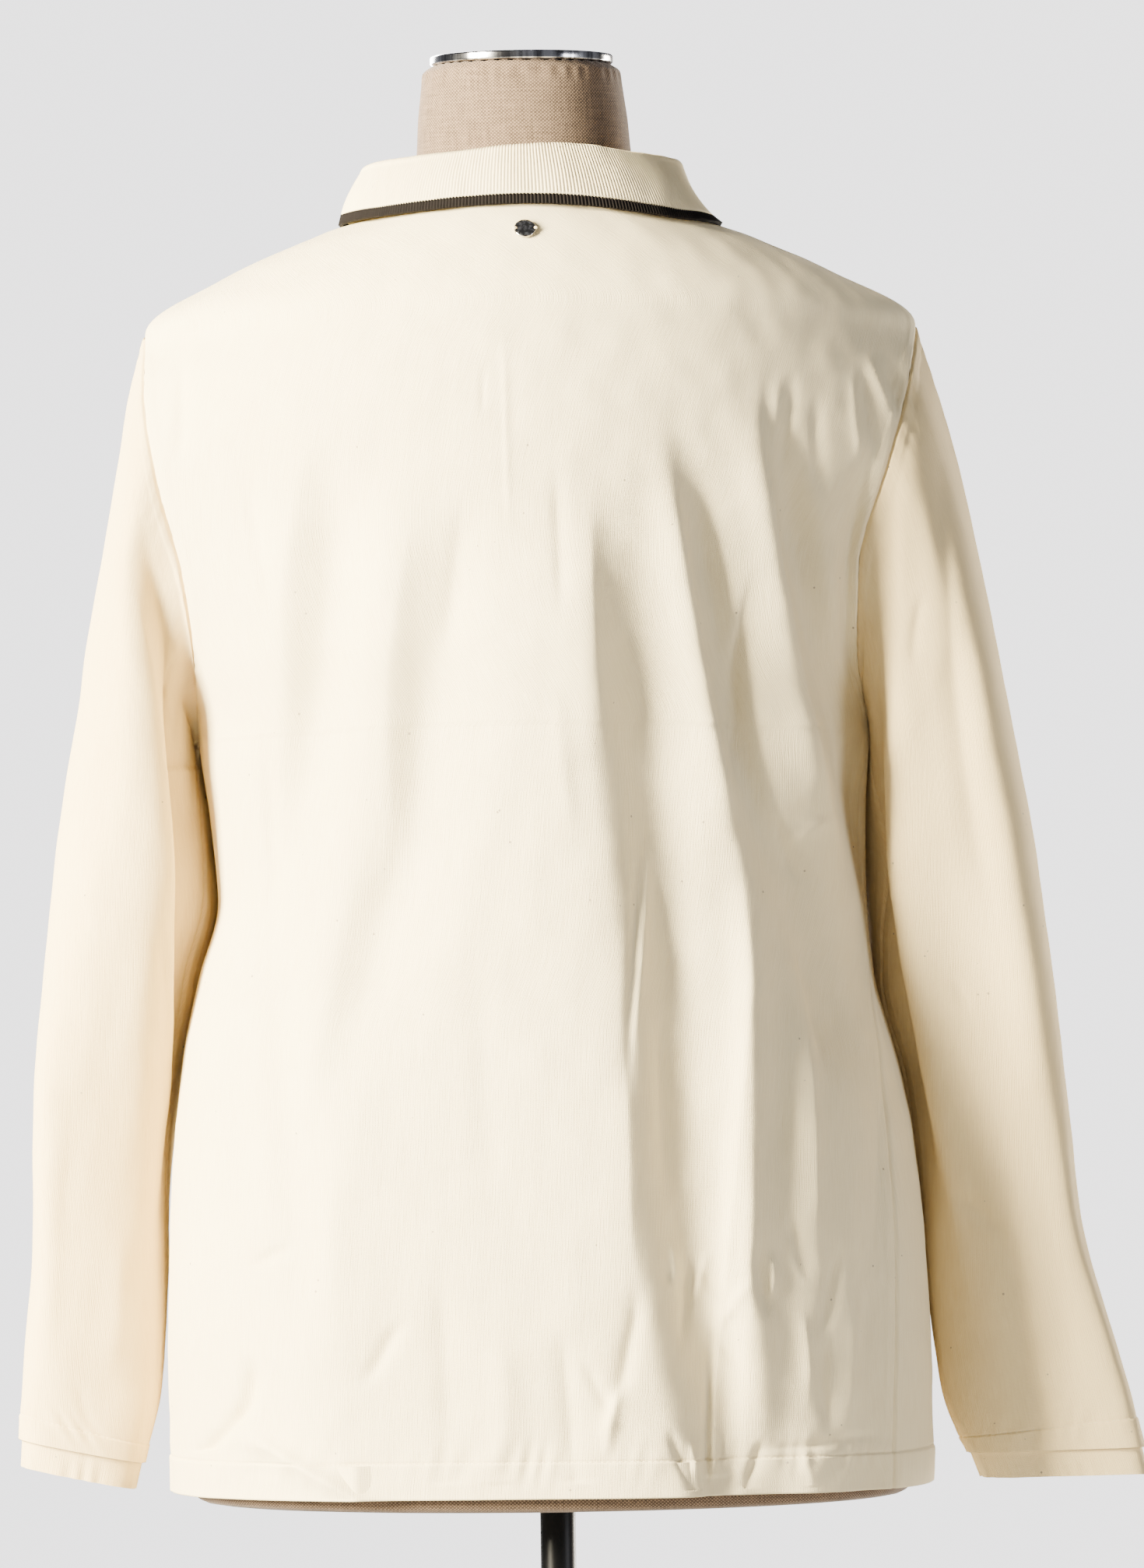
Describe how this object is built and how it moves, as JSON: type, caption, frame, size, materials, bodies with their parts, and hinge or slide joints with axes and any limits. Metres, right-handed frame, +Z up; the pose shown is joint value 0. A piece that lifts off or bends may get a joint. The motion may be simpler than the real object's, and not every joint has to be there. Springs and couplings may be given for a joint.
{
  "type": "long-sleeve polo shirt worn on a limbless dress form with a round-based stand",
  "caption": "Cream long-sleeve polo shirt with a dark-edged rib collar, worn on a limbless linen dress form that stands on a black pole and a round base.",
  "frame": {"origin": "on the floor, at the middle of the base's underside", "axes": "+Z up, the shirt's front faces -Y, +X towards the wearer's left"},
  "size_m": [0.6376, 0.33, 1.4274],
  "materials": {
    "jersey": "matte cotton jersey, cream",
    "rib_knit": "matte flat-knit rib, cream",
    "dark_knit": "matte flat knit, dark brown",
    "button": "satin, cream",
    "chrome": "polished",
    "linen": "matte coarse linen, beige brown",
    "black_metal": "satin black"
  },
  "bodies": {
    "root": {"back": "jersey", "front": "jersey", "sleeve_left": "jersey", "sleeve_right": "jersey", "collar": "rib_knit", "collar_tipping": "dark_knit", "placket": "jersey", "button_1": "button", "button_2": "button", "button_3": "button", "neck_disc": "chrome", "form_body": "linen", "form_cap": "chrome", "form_pole": "black_metal", "form_base": "black_metal"}
  },
  "joints": []
}
